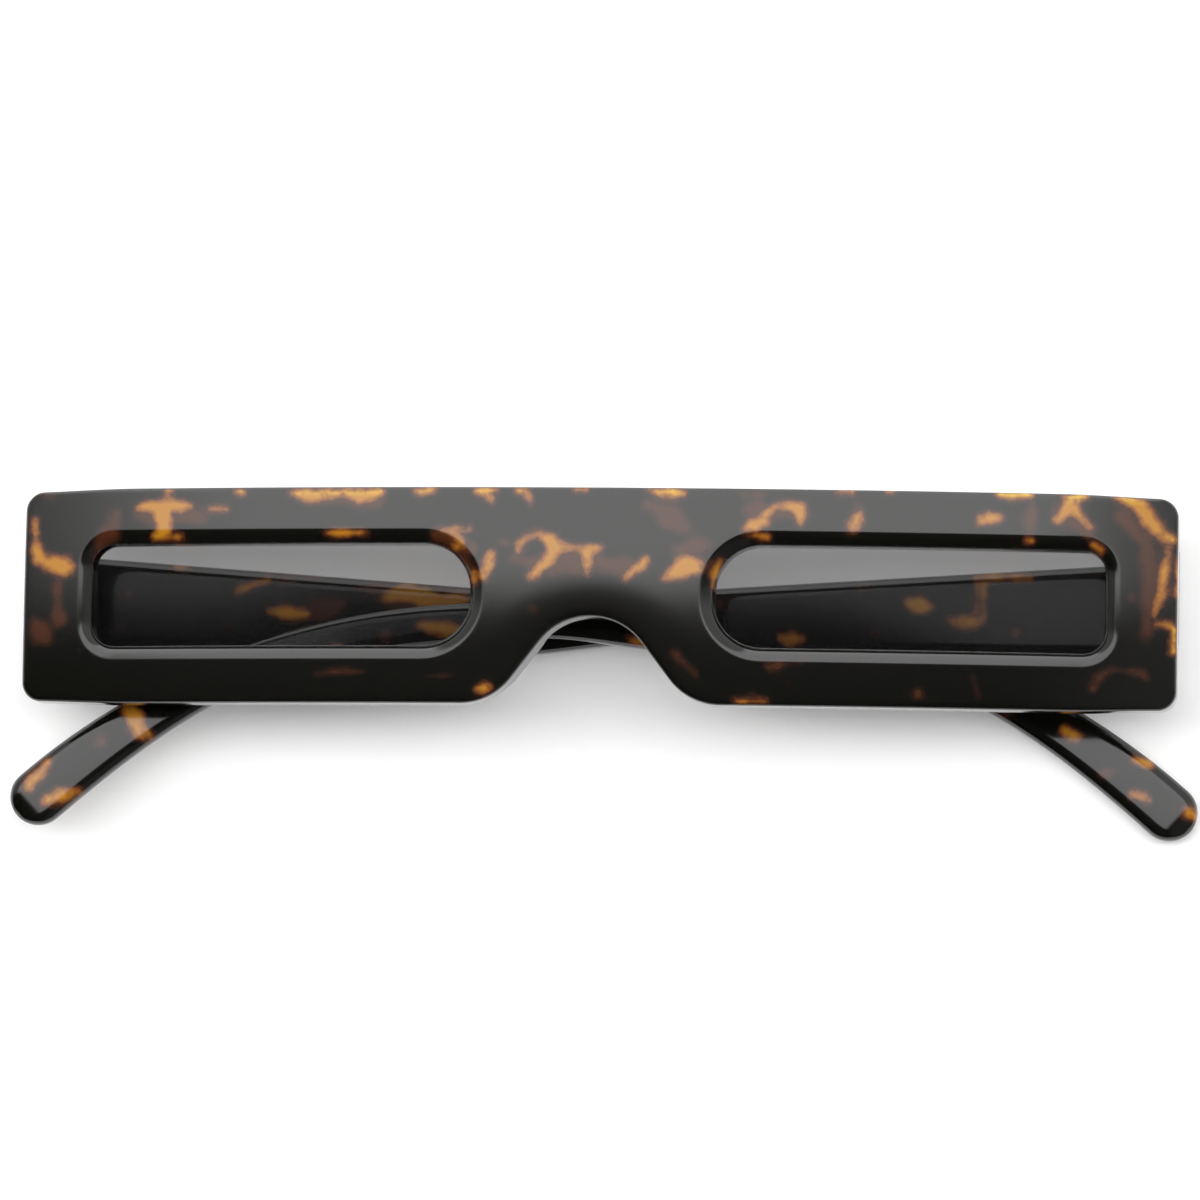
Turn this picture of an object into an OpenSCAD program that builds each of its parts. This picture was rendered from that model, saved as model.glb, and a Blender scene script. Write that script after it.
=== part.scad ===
// Flat top sunglasses, folded and lying on their back.
// X runs along the front, Y up the front's height and Z out of the lenses.
// Left and right are the wearer's, so the left side is at +X.

/* [Front] */
// Width of the front
front_width = 145; // [135:1:155]
// Height of the front
front_height = 27.1; // [25:0.1:32]
// Thickness of the front, from its face to its back
front_thickness = 4.4; // [4:0.1:5.5]
// Radius that the front's face is bowed to
face_radius = 420; // [300:10:900]
// Radius of the front's four outer corners
corner_radius = 2.4; // [0.8:0.1:3]
// How much the top edge and the bottom edge draw in at each end
end_draw_in = 0.35; // [0.1:0.05:0.8]
// Length of edge over which they draw in
end_draw_length = 12; // [8:1:20]

/* [Lens openings] */
// Distance between the middles of the two openings
eye_spacing = 78.8; // [76:0.2:82]
// Width of each opening
eye_width = 48.4; // [44:0.1:49]
// Height of each opening
eye_height = 12.8; // [11:0.1:15]
// Radius of the opening's corners at the nose
eye_nose_radius = 6; // [3:0.1:6.2]
// Radius of the opening's corners at the temple
eye_temple_radius = 2.8; // [2:0.1:5]
// How high the openings' middle lies above the front's middle
eye_rise = 0.1; // [-1:0.1:1]
// Width of the soft bevel round each opening
bevel_width = 1.6; // [0.8:0.1:2.4]
// Depth of the bevel below the face
bevel_depth = 1.2; // [0.6:0.1:1.6]

/* [Nose] */
// Height of the nose arch above the bottom edge
arch_height = 10.9; // [9:0.1:12]
// Radius of the arch's crown
arch_crown_radius = 8; // [6:0.1:9]
// Slope of the arch's flanks, in degrees from level
arch_slope = 52.5; // [45:0.5:60]
// Radius where the flanks run into the bottom edge
arch_foot_radius = 8; // [4:0.1:9]
// Length of each moulded nose pad
pad_length = 9; // [7:0.1:10]
// Width of each nose pad
pad_width = 4; // [3:0.1:5]
// How far the pads stand out behind the front
pad_depth = 2.6; // [1.5:0.1:3.5]
// Radius that the pads are domed to
pad_dome_radius = 9; // [7:0.5:14]

/* [Lenses] */
// Thickness of the lenses
lens_thickness = 1.8; // [1.4:0.1:2]
// How far the lens's face lies behind the front's face
lens_set_back = 1.7; // [1.5:0.1:2]
// How far the lens reaches into its groove, all round
lens_bite = 1; // [0.6:0.1:1.4]
// Room round the lens in its groove
lens_room = 0.05; // [0.03:0.01:0.1]

/* [Temples] */
// Length of the temple along the level part of its top edge
temple_straight = 88; // [80:1:96]
// Radius of the top edge over the ear
ear_radius = 90.5; // [70:0.5:110]
// Slope of the temple, in degrees below level
temple_drop = 3.9; // [0:0.1:6]
// Slope at the very tip, in degrees below level
tip_drop = 43.5; // [30:0.5:50]
// Height of the temple at the hinge
temple_height = 12.3; // [10:0.1:14]
// Height where the temple starts to narrow
temple_waist_height = 8.7; // [7:0.1:11]
// Height of the temple just before the ear
ear_height = 4.9; // [4.4:0.1:6.5]
// Height of the temple at its tip
tip_height = 7.2; // [5:0.1:8]
// Distance along the temple to where it starts to narrow
waist_at = 52; // [40:1:60]
// Distance along the temple to where it is narrowest
narrow_at = 80; // [70:1:86]
// Distance along the temple at which it starts to widen towards the tip
widen_at = 108; // [100:1:120]
// Thickness of the temple
temple_thickness = 3.2; // [2.8:0.1:4]
// Radius of the temple's long edges on the wearer's side
temple_inner_edge = 1.3; // [0.4:0.05:1.5]
// Radius of the temple's long edges on the outside, up to the narrow part
temple_outer_edge = 0.6; // [0.3:0.05:1.2]
// Height of the temple's top edge above the front's middle, at the hinge
temple_rise = 6.4; // [5:0.1:8]

/* [End pieces and hinges] */
// Length of the end piece behind each end of the front
lug_length = 8.5; // [8:0.1:11]
// How far the end piece stands out behind the front
lug_depth = 2; // [1.2:0.1:4]
// Height of the end piece
lug_height = 12.7; // [10:0.1:14]
// Height of the end piece's middle above the front's middle
lug_rise = 1.3; // [0:0.1:2]
// Height of the hinge's middle above the front's middle
hinge_rise = 0.4; // [-1:0.1:1]
// Radius of the hinge's knuckles
knuckle_radius = 1.45; // [1.2:0.05:1.8]
// Height of each knuckle
knuckle_height = 2; // [1.6:0.1:2.6]
// Gap between one knuckle and the next
knuckle_gap = 0.08; // [0.05:0.01:0.15]
// Radius of the hinge screw's shank
screw_radius = 0.66; // [0.5:0.01:0.8]
// Room round the shank in its knuckles
screw_play = 0.05; // [0.03:0.01:0.08]
// Radius of the screw's head
screw_head_radius = 1.2; // [1:0.05:1.4]
// Height of the screw's head
screw_head_height = 0.7; // [0.5:0.05:1]
// Width of the slot in the screw's head
screw_slot = 0.35; // [0.25:0.05:0.5]
// Thickness of the hinge's leaves
leaf_thickness = 0.8; // [0.6:0.05:1]
// Length of the leaf that is sunk in the temple
temple_leaf_length = 8; // [6:0.5:12]
// How deep that leaf is sunk below the temple's inner face
temple_leaf_sink = 0.6; // [0.3:0.1:1]
// Length of the leaf that is sunk in the end piece
front_leaf_length = 6; // [4.5:0.1:6.4]
// Distance from the end of the front to that leaf
front_leaf_inset = 1.4; // [1:0.1:2]
// Room round a leaf in its pocket
leaf_room = 0.03; // [0.02:0.01:0.06]
// Gap between the knuckles and the faces that pass them
swing_room = 0.15; // [0.1:0.01:0.3]

/* [Folding] */
// How far the left temple folds past level, in degrees, towards the lenses
left_fold_past = 1.5; // [1.4:0.1:2.5]
// How far the right temple stops short of level, in degrees, on top of the left one
right_fold_short = 1.5; // [1.4:0.1:2.5]

/* [Hidden] */
$fn = 48;
// a cut runs this far past what it cuts
past = 1;
// straights stop this far short of an arc that they touch
nib = 0.2;
LEFT = 1;
RIGHT = -1;

back_radius = face_radius - front_thickness;
// depth of the front's face and back, measured from the face's crown, at a distance x from the middle
function face_z(x) = sqrt(pow(face_radius, 2) - x * x) - face_radius;
function back_z(x) = sqrt(pow(back_radius, 2) - x * x) - face_radius;
half_width = front_width / 2;
half_height = front_height / 2;

// the end piece's flat back, and the hinge axis behind it
lug_z = back_z(half_width) - lug_depth;
axis_gap = knuckle_radius + swing_room;
axis_z = lug_z - axis_gap;
axis_x = half_width - temple_thickness - axis_gap;
knuckle_pitch = knuckle_height + knuckle_gap;
hinge_height = 3 * knuckle_height + 2 * knuckle_gap;
leaf_z = -axis_gap - temple_leaf_sink;
neck_half = knuckle_radius * 0.8;

// the temple in its own plane: r runs from the hinge axis to the tip, y is up, and the top edge is the guide
tip_round = tip_height / 2;
temple_start = -knuckle_radius;
straight_end = temple_straight + knuckle_radius;
bend_length = ear_radius * (tip_drop - temple_drop) * PI / 180;
temple_length = straight_end + bend_length;
temple_lift = temple_rise + temple_start * tan(temple_drop);

// a smooth step from 0 to 1 as x goes from a to b
function ease(x, a, b) = let (t = min(1, max(0, (x - a) / (b - a)))) t * t * (3 - 2 * t);

// the top edge at a distance s along it: [r, y, slope in degrees]
function guide(s) =
    s <= straight_end
    ? [temple_start + s * cos(temple_drop), temple_lift - s * sin(temple_drop), temple_drop]
    : let (a = temple_drop + (s - straight_end) / ear_radius * 180 / PI)
      [temple_start + straight_end * cos(temple_drop) + ear_radius * (sin(a) - sin(temple_drop)),
       temple_lift - straight_end * sin(temple_drop) + ear_radius * (cos(a) - cos(temple_drop)), a];

// the temple's height under the top edge at a distance s along it
function temple_height_at(s) =
    s < waist_at
    ? temple_height + (temple_waist_height - temple_height) * s / waist_at
    : temple_waist_height + (ear_height - temple_waist_height) * ease(s, waist_at, narrow_at)
      + (tip_height - ear_height) * ease(s, widen_at, temple_length - tip_round);

// the radius of the outside edges, which are rounder over the ear and at the tip
function outer_edge_at(s) =
    temple_outer_edge + (temple_inner_edge - temple_outer_edge) * ease(s, narrow_at, widen_at);

// the section stands upright at the hinge, where the temple butts, and leans to the slope further on
function tilt(s) = guide(s)[2] * ease(s, 0, waist_at / 2);

// the middle of the section at a distance s, and the last one at the tip
function section_middle(s) = let (g = guide(s), h = temple_height_at(s), a = tilt(s))
    [g[0] - sin(a) * h / 2, g[1] - cos(a) * h / 2];

// one corner of a rounded section, as steps round its arc
corner_steps = 4;
function section_corner(w, h, r, qw, qh) =
    let (turn = qw * qh > 0 ? (qw > 0 ? 0 : 180) : (qw > 0 ? 270 : 90))
    [for (i = [0 : corner_steps]) let (a = turn + 90 * i / corner_steps)
        [qw * (w - r) + r * cos(a), qh * (h - r) + r * sin(a)]];

// a rounded section with half width w and half height h, anticlockwise, its inner corners first
function rounded_section(w, h, inner, outer) = concat(
    section_corner(w, h, inner, 1, 1), section_corner(w, h, outer, -1, 1),
    section_corner(w, h, outer, -1, -1), section_corner(w, h, inner, 1, -1));

// stations along the temple, close together where it bends and at the tip
stations = concat([for (i = [0 : 5]) waist_at * i / 6],
    [for (i = [0 : 7]) waist_at + (narrow_at - waist_at) * i / 7],
    [for (i = [0 : 12]) straight_end + (bend_length - tip_round) * i / 12],
    [for (u = [0.3, 0.55, 0.75, 0.9, 0.98]) temple_length - tip_round + tip_round * u]);

// the temple's section at one station, as points [r, y, thickness direction]
function temple_ring(s) =
    let (full = min(s, temple_length - tip_round), over = s - full, u = over / tip_round, a = tilt(full),
         round_in = sqrt(1 - u * u), flat_in = sqrt(1 - pow(max(0, u - 0.4) / 0.6, 2)),
         m = section_middle(full) + over * [cos(a), -sin(a)],
         h = temple_height_at(full) / 2 * round_in,
         w = temple_thickness / 2 * flat_in,
         inner = min(temple_inner_edge, 0.9 * h, 0.9 * w), outer = min(outer_edge_at(full), 0.9 * h, 0.9 * w))
    [for (p = rounded_section(w, h, inner, outer)) [m[0] + p[1] * sin(a), m[1] + p[1] * cos(a), p[0]]];

// the whole part stands on z = 0, with its box's middle at x = 0 and y = 0
lift_y = -(half_height + min([for (s = stations) for (p = temple_ring(s)) p[1]])) / 2;
lift_z = -min([for (s = stations) for (p = temple_ring(s)) axis_z - p[0] * sin(right_fold_short)
               + (p[2] - axis_gap - temple_thickness / 2) * cos(right_fold_short)]);

// the temple lofted through its stations, inner face towards +Z, r along +X
module temple_arm() {
    rings = [for (s = stations) temple_ring(s)];
    count = len(rings[0]);
    last = len(rings) - 1;
    points = [for (ring = rings) for (p = ring) p];
    sides = [for (k = [0 : last - 1]) for (i = [0 : count - 1])
        let (a = k * count + i, b = k * count + (i + 1) % count)
        [a, b, b + count, a + count]];
    start_cap = [[for (i = [count - 1 : -1 : 0]) i]];
    end_cap = [[for (i = [0 : count - 1]) last * count + i]];
    translate([0, 0, -axis_gap - temple_thickness / 2])
        polyhedron(points = points, faces = concat(start_cap, sides, end_cap), convexity = 4);
}

// puts children drawn round the hinge axis on one side of the front, folded by the rest angle
module at_hinge(side, angle) {
    translate([side * axis_x, 0, axis_z])
        mirror([side > 0 ? 1 : 0, 0, 0])
            rotate([0, angle, 0]) children();
}

// puts the finished piece where the part stands
module placed() {
    translate([0, lift_y, lift_z]) children();
}

// the outline of one opening, its nose end towards -X, grown all round
module eye_outline(grow) {
    w = eye_width / 2 + grow;
    h = eye_height / 2 + grow;
    n = eye_nose_radius + grow;
    t = eye_temple_radius + grow;
    for (q = [-1, 1]) {
        translate([n - w, q * (h - n)]) circle(n);
        translate([w - t, q * (h - t)]) circle(t);
    }
    translate([n - w, -h]) square([2 * w - n - t, 2 * h]);
    translate([-w, n - h]) square([2 * w - t, 2 * (h - n)]);
    translate([n - w, t - h]) square([2 * w - n, 2 * (h - t)]);
}

// points round the same outline, for the bevel
eye_steps = 7;
function eye_corner(w, h, r, qx, qy) =
    let (turn = qx * qy > 0 ? (qx > 0 ? 0 : 180) : (qx > 0 ? 270 : 90))
    [for (i = [0 : eye_steps]) let (a = turn + 90 * i / eye_steps)
        [qx * (w - r) + r * cos(a), qy * (h - r) + r * sin(a)]];
function edge_between(a, b, steps) = [for (i = [1 : steps - 1]) a + (b - a) * i / steps];
function eye_points(grow) =
    let (w = eye_width / 2 + grow, h = eye_height / 2 + grow,
         n = eye_nose_radius + grow, t = eye_temple_radius + grow,
         c1 = eye_corner(w, h, t, 1, 1), c2 = eye_corner(w, h, n, -1, 1),
         c3 = eye_corner(w, h, n, -1, -1), c4 = eye_corner(w, h, t, 1, -1))
    concat(c1, edge_between(c1[eye_steps], c2[0], 4), c2, c3,
           edge_between(c3[eye_steps], c4[0], 4), c4);

// the soft bevel of one opening, as a funnel that follows the bowed face
module eye_bevel(side) {
    slope = bevel_width / bevel_depth;
    sink = 0.2;
    rise = 0.8;
    levels = [[-bevel_depth - sink, -sink * slope], [rise, bevel_width + rise * slope]];
    rings = [for (l = levels) [for (p = eye_points(l[1]))
        let (x = side * (p[0] + eye_spacing / 2)) [x, p[1] + eye_rise, face_z(x) + l[0]]]];
    count = len(rings[0]);
    // the last two points are the middles that the caps fan out from
    middle = [side * eye_spacing / 2, eye_rise, face_z(eye_spacing / 2)];
    points = concat(rings[0], rings[1],
                    [middle + [0, 0, levels[0][0]], middle + [0, 0, levels[1][0]]]);
    faces = [for (i = [0 : count - 1]) let (j = (i + 1) % count) each
        [[i, j, j + count], [i, j + count, i + count], [j, i, 2 * count],
         [i + count, j + count, 2 * count + 1]]];
    polyhedron(points = points, convexity = 4,
        faces = side > 0 ? [for (f = faces) [for (i = [len(f) - 1 : -1 : 0]) f[i]]] : faces);
}

// a bowed sheet between two depths below the face, wide enough for the whole front
module bowed_sheet(near, far) {
    reach = front_height + 2 * past;
    translate([0, reach / 2, -face_radius]) rotate([90, 0, 0]) difference() {
        cylinder(r = face_radius - near, h = reach, $fn = 360);
        translate([0, 0, -past]) cylinder(r = face_radius - far, h = reach + 2 * past, $fn = 360);
        translate([-face_radius, -2 * face_radius, -past])
            cube([2 * face_radius, 2 * face_radius + face_radius / 2, reach + 2 * past]);
    }
}

// where the flank of the nose arch touches the crown, and where the foot's arc meets the bottom edge
arch_top = arch_height - half_height;
crown_y = arch_top - arch_crown_radius;
flank_x = arch_crown_radius * sin(arch_slope);
flank_y = crown_y + arch_crown_radius * cos(arch_slope);
flank_foot_x = flank_x + (flank_y + half_height) / tan(arch_slope);
foot_reach = arch_foot_radius * tan(arch_slope / 2);
foot_x = flank_foot_x + foot_reach;
foot_touch = [flank_foot_x - foot_reach * cos(arch_slope), foot_reach * sin(arch_slope) - half_height];

// a point at a distance along a slope from another point
function along(point, slope, reach) = point + reach * [cos(slope), sin(slope)];

// the nose arch, cut from the bottom edge; its straights stop a hair short of where they touch
// the arcs and then turn in, because an exact cut needs them to cross
module arch_outline() {
    crown_end = along([flank_x, flank_y], -arch_slope, nib);
    foot_end = along(foot_touch, -arch_slope, -nib);
    foot_in = along(foot_end, -arch_slope, nib) + [nib, nib];
    difference() {
        union() {
            translate([0, crown_y]) circle(arch_crown_radius);
            polygon([[-foot_x + nib, -half_height - past], [foot_x - nib, -half_height - past],
                     [foot_x - nib, -half_height + nib], foot_in, foot_end, crown_end,
                     [crown_end[0] - 1, crown_end[1]],
                     [1 - crown_end[0], crown_end[1]], [-crown_end[0], crown_end[1]],
                     [-foot_end[0], foot_end[1]], [-foot_in[0], foot_in[1]],
                     [-foot_x + nib, -half_height + nib]]);
        }
        for (q = [-1, 1]) translate([q * foot_x, arch_foot_radius - half_height])
            circle(arch_foot_radius, $fn = 96);
    }
}

// the front's outline: straight edges that draw in at the ends, and round corners
module front_outline() {
    end_half = half_height - end_draw_in;
    side_x = half_width - corner_radius;
    edge_end = end_half + end_draw_in * nib / end_draw_length;
    difference() {
        union() {
            polygon([for (q = [1, -1]) each
                [[q * (side_x - nib), q * edge_end], [q * (side_x - end_draw_length), q * half_height],
                 [-q * (side_x - end_draw_length), q * half_height],
                 [-q * (side_x - nib), q * edge_end]]]);
            translate([-half_width, corner_radius + nib - end_half])
                square([front_width, 2 * (end_half - corner_radius - nib)]);
            for (qx = [-1, 1], qy = [-1, 1])
                translate([qx * side_x, qy * (end_half - corner_radius)]) circle(corner_radius);
        }
        arch_outline();
    }
}

// one nose pad: a capsule along the flank of the arch, domed at the back
module nose_pad(side) {
    pad_x = (flank_x + foot_touch[0]) / 2 + pad_width / 2 * sin(arch_slope);
    pad_y = (flank_y + foot_touch[1]) / 2 + pad_width / 2 * cos(arch_slope);
    back = back_z(pad_x);
    run = pad_length - pad_width;
    intersection() {
        translate([side * pad_x, pad_y, back - pad_depth - past])
            rotate([0, 0, -side * arch_slope])
                linear_extrude(pad_depth + past + front_thickness / 2) {
                    square([run, pad_width], center = true);
                    for (q = [-1, 1]) translate([q * run / 2, 0]) circle(pad_width / 2);
                }
        translate([side * pad_x, pad_y, back - pad_depth + pad_dome_radius])
            sphere(pad_dome_radius, $fn = 96);
    }
}

module front_frame() {
    color("#3b2614") placed() difference() {
        union() {
            intersection() {
                bowed_sheet(0, front_thickness);
                translate([0, 0, lug_z]) linear_extrude(-lug_z + past) front_outline();
            }
            for (side = [LEFT, RIGHT]) {
                nose_pad(side);
                lug(side);
            }
        }
        for (side = [LEFT, RIGHT]) {
            eye_bevel(side);
            translate([side * eye_spacing / 2, eye_rise, lug_z - past])
                mirror([side > 0 ? 0 : 1, 0, 0]) linear_extrude(-lug_z + 2 * past) eye_outline(0);
            intersection() {
                bowed_sheet(lens_set_back - lens_room, lens_set_back + lens_thickness + lens_room);
                translate([side * eye_spacing / 2, eye_rise, lug_z])
                    mirror([side > 0 ? 0 : 1, 0, 0]) linear_extrude(-lug_z + past)
                        eye_outline(lens_bite + lens_room);
            }
            at_hinge(side, 0) front_leaf_plate(leaf_room);
        }
    }
}

// the end piece behind one end of the front, which the open temple butts against
module lug(side) {
    translate([side > 0 ? half_width - lug_length : -half_width, lug_rise - lug_height / 2, lug_z])
        cube([lug_length, lug_height, face_z(half_width) - front_thickness / 2 - lug_z]);
}

module lens(side) {
    color("#5a5a5c") placed() intersection() {
        bowed_sheet(lens_set_back, lens_set_back + lens_thickness);
        translate([side * eye_spacing / 2, eye_rise, lug_z]) mirror([side > 0 ? 0 : 1, 0, 0])
            linear_extrude(-lug_z + past) eye_outline(lens_bite);
    }
}

// the sunk plate of the front's leaf, seen from the hinge axis, grown all round
module front_leaf_plate(grow) {
    translate([axis_x - half_width + front_leaf_inset - grow, hinge_rise - hinge_height / 2 - grow,
               axis_gap])
        cube([front_leaf_length + 2 * grow, hinge_height + 2 * grow, leaf_thickness + grow]);
}

// a knuckle of the hinge with its neck, from the axis up to one height along +Z and down to another
module knuckle(level, low, high) {
    translate([0, hinge_rise + level * knuckle_pitch, 0]) difference() {
        union() {
            rotate([90, 0, 0]) cylinder(r = knuckle_radius, h = knuckle_height, center = true);
            translate([-neck_half, -knuckle_height / 2, low])
                cube([2 * neck_half, knuckle_height, high - low]);
        }
        rotate([90, 0, 0]) cylinder(r = screw_radius + screw_play, h = knuckle_height + 2 * past,
                                    center = true);
    }
}

module front_leaf(side) {
    color("silver") placed() at_hinge(side, 0) {
        front_leaf_plate(0);
        for (level = [-1, 1]) knuckle(level, 0, axis_gap);
    }
}

// the plate that is sunk in the temple, grown all round, and the slot that its neck comes out of
module temple_leaf_plate(grow) {
    translate([-neck_half - grow, hinge_rise - hinge_height / 2 - grow, leaf_z - leaf_thickness - grow])
        cube([temple_leaf_length + 2 * grow, hinge_height + 2 * grow, leaf_thickness + 2 * grow]);
    if (grow > 0)
        translate([-neck_half - grow, hinge_rise - knuckle_height / 2 - grow, leaf_z])
            cube([2 * (neck_half + grow), knuckle_height + 2 * grow, temple_leaf_sink + past]);
}

module temple_leaf(side, angle) {
    color("silver") placed() at_hinge(side, angle) {
        temple_leaf_plate(0);
        knuckle(0, leaf_z, 0);
    }
}

module temple(side, angle) {
    color("#432a16") placed() at_hinge(side, angle) difference() {
        temple_arm();
        temple_leaf_plate(leaf_room);
    }
}

// the screw drops in from above, through all three knuckles
module hinge_screw(side) {
    head_y = hinge_rise + hinge_height / 2;
    color("lightgray") placed() at_hinge(side, 0) difference() {
        translate([0, head_y, 0]) rotate([90, 0, 0]) {
            cylinder(r = screw_radius, h = hinge_height);
            translate([0, 0, -screw_head_height])
                cylinder(r = screw_head_radius, h = screw_head_height);
        }
        translate([-screw_slot / 2, head_y + screw_head_height / 2, -past - screw_head_radius])
            cube([screw_slot, screw_head_height, 2 * (past + screw_head_radius)]);
    }
}

front_frame();
lens(LEFT);  // lens_left
lens(RIGHT);  // lens_right
temple(LEFT, -left_fold_past);  // temple_left
temple(RIGHT, right_fold_short);  // temple_right
front_leaf(LEFT);  // front_leaf_left
front_leaf(RIGHT);  // front_leaf_right
temple_leaf(LEFT, -left_fold_past);  // temple_leaf_left
temple_leaf(RIGHT, right_fold_short);  // temple_leaf_right
hinge_screw(LEFT);  // hinge_screw_left
hinge_screw(RIGHT);  // hinge_screw_right
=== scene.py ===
# Flat top sunglasses in tortoise plastic, folded and lying on their back.
# Sizes are in millimetres and are turned into metres when a mesh is made. The floor, the camera's
# nearest and farthest distance, the hinges' round edges and the materials' grain are in metres.
import math

import bpy
import numpy as np
from mathutils import Matrix, Vector, geometry, kdtree


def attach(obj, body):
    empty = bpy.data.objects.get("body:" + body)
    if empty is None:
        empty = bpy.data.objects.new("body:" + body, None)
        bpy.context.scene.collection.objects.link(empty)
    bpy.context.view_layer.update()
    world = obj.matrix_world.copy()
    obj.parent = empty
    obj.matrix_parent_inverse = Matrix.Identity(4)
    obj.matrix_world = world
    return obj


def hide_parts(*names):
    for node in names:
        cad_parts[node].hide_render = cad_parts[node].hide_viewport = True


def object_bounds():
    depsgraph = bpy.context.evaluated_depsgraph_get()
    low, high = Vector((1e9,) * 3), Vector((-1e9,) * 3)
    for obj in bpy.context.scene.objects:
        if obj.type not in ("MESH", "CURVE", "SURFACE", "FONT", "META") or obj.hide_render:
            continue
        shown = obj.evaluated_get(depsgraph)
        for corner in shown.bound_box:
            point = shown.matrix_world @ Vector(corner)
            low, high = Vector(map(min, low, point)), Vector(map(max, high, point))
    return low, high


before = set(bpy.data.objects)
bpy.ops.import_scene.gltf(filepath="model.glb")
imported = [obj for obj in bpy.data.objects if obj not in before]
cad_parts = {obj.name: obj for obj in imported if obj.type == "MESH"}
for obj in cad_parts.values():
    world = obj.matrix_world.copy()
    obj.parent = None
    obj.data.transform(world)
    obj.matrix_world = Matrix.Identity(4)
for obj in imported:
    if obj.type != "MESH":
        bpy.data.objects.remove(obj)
cad_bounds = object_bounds()
scene = bpy.context.scene

MM = 0.001
LEFT = 1
RIGHT = -1
WORD = {LEFT: "left", RIGHT: "right"}

# The front's sizes, as in the part's source
HALF_WIDTH = 72.5
HALF_HEIGHT = 13.55
THICKNESS = 4.4
FACE_RADIUS = 420
CORNER = 2.4
DRAW_IN = 0.35
DRAW_LENGTH = 12
EYE_X = 39.4
EYE_Y = 0.1
EYE_HALF_WIDTH = 24.2
EYE_HALF_HEIGHT = 6.4
EYE_NOSE = 6.0
EYE_TEMPLE = 2.8
ARCH_HEIGHT = 10.9
ARCH_CROWN = 8
ARCH_SLOPE = math.radians(52.5)
ARCH_FOOT = 8
LENS_SET_BACK = 1.7
LENS_THICKNESS = 1.8
LUG_LENGTH = 8.5
LUG_DEPTH = 2
LUG_HEIGHT = 12.7
LUG_RISE = 1.3
LUG_Z = math.sqrt((FACE_RADIUS - THICKNESS) ** 2 - HALF_WIDTH ** 2) - FACE_RADIUS - LUG_DEPTH

# Where the front's middle, at its face, sits in the frame, whose bounds the face and the top edge touch
LIFT_Y = cad_bounds[1][1] / MM - HALF_HEIGHT
LIFT_Z = cad_bounds[1][2] / MM

# The finer form that only the visible front has
FACE_CROWN = 0.002
BEVEL_WIDTH = 1.85
BEVEL_DEPTH = 1.1
BEVEL_CURVE = 2.3

# How finely the front and the lenses are meshed
BEVEL_STEPS = 14
ROUND_STEPS = 14
CORNER_STEPS = 10
OUTLINE_STEP = 0.7
FACE_SPACING = 0.55
BACK_SPACING = 0.9
LENS_SPACING = 1.2

# How far the temples' inner faces and the end pieces' backs stay inside those of the solids
CLEAR = 0.05


def smooth(x, a, b):
    """Goes from 0 to 1, with soft ends, as x goes from a to b."""
    t = min(1.0, max(0.0, (x - a) / (b - a)))
    return t * t * (3 - 2 * t)


# Camera


def add_camera():
    """Looks at the face from a little below it and from the wearer's left."""
    distance = 1100.0
    below = math.radians(6.0)
    sideways = math.radians(6.5)
    roll = math.radians(1.1)
    aim_drop = 0.652
    sensor_width = 36
    # the photograph, in pixels: its width, the column that the front's middle is in, and the scale
    picture_width = 1200
    middle_column = 590.4
    pixels_per_mm = 8.055
    middle = Vector((0, LIFT_Y - aim_drop, LIFT_Z))
    back = Vector((math.sin(sideways) * math.cos(below), -math.sin(below),
                   math.cos(sideways) * math.cos(below)))
    right = (-back).cross(Vector((0, 1, 0))).normalized()
    up = right.cross(-back)
    turned_right = math.cos(roll) * right + math.sin(roll) * up
    turned_up = -math.sin(roll) * right + math.cos(roll) * up
    data = bpy.data.cameras.new("camera")
    data.sensor_width = sensor_width
    data.lens = pixels_per_mm * distance / picture_width * sensor_width
    data.shift_x = (picture_width / 2 - middle_column) / picture_width
    data.clip_start = 0.05
    data.clip_end = 20
    camera = bpy.data.objects.new("camera", data)
    scene.collection.objects.link(camera)
    turn = Matrix((turned_right, turned_up, back)).transposed().to_4x4()
    camera.matrix_world = Matrix.Translation((middle + distance * back) * MM) @ turn
    scene.camera = camera


# Materials


class Nodes:
    """Builds a node tree: an input is given a value or another node's output."""

    def __init__(self, tree):
        self.tree = tree
        tree.nodes.clear()

    def add(self, kind, **settings):
        node = self.tree.nodes.new(kind)
        inputs = settings.pop("inputs", {})
        for name, value in settings.items():
            setattr(node, name, value)
        for name, value in inputs.items():
            self.put(node, name, value)
        return node

    def put(self, node, name, value):
        socket = node.inputs[name]
        if isinstance(value, bpy.types.NodeSocket):
            self.tree.links.new(value, socket)
        else:
            socket.default_value = value

    def math(self, operation, a, b=0.0):
        return self.add("ShaderNodeMath", operation=operation, inputs={0: a, 1: b}).outputs[0]

    def step(self, value, low, high):
        return self.add("ShaderNodeMapRange", interpolation_type="SMOOTHSTEP",
                        inputs={"Value": value, "From Min": low, "From Max": high}).outputs[0]

    def mix(self, factor, a, b):
        return self.add("ShaderNodeMix", data_type="RGBA",
                        inputs={"Factor": factor, "A": a, "B": b}).outputs["Result"]

    def blend(self, factor, a, b):
        return self.add("ShaderNodeMix", inputs={"Factor": factor, "A": a, "B": b}).outputs[0]

    def noise(self, vector, scale, detail, rough):
        return self.add("ShaderNodeTexNoise", inputs={
            "Vector": vector, "Scale": scale, "Detail": detail, "Roughness": rough}).outputs["Fac"]

    def attribute(self, name):
        return self.add("ShaderNodeAttribute", attribute_name=name).outputs["Fac"]


def material(name):
    made = bpy.data.materials.new(name)
    made.use_nodes = True
    return made, Nodes(made.node_tree)


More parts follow.
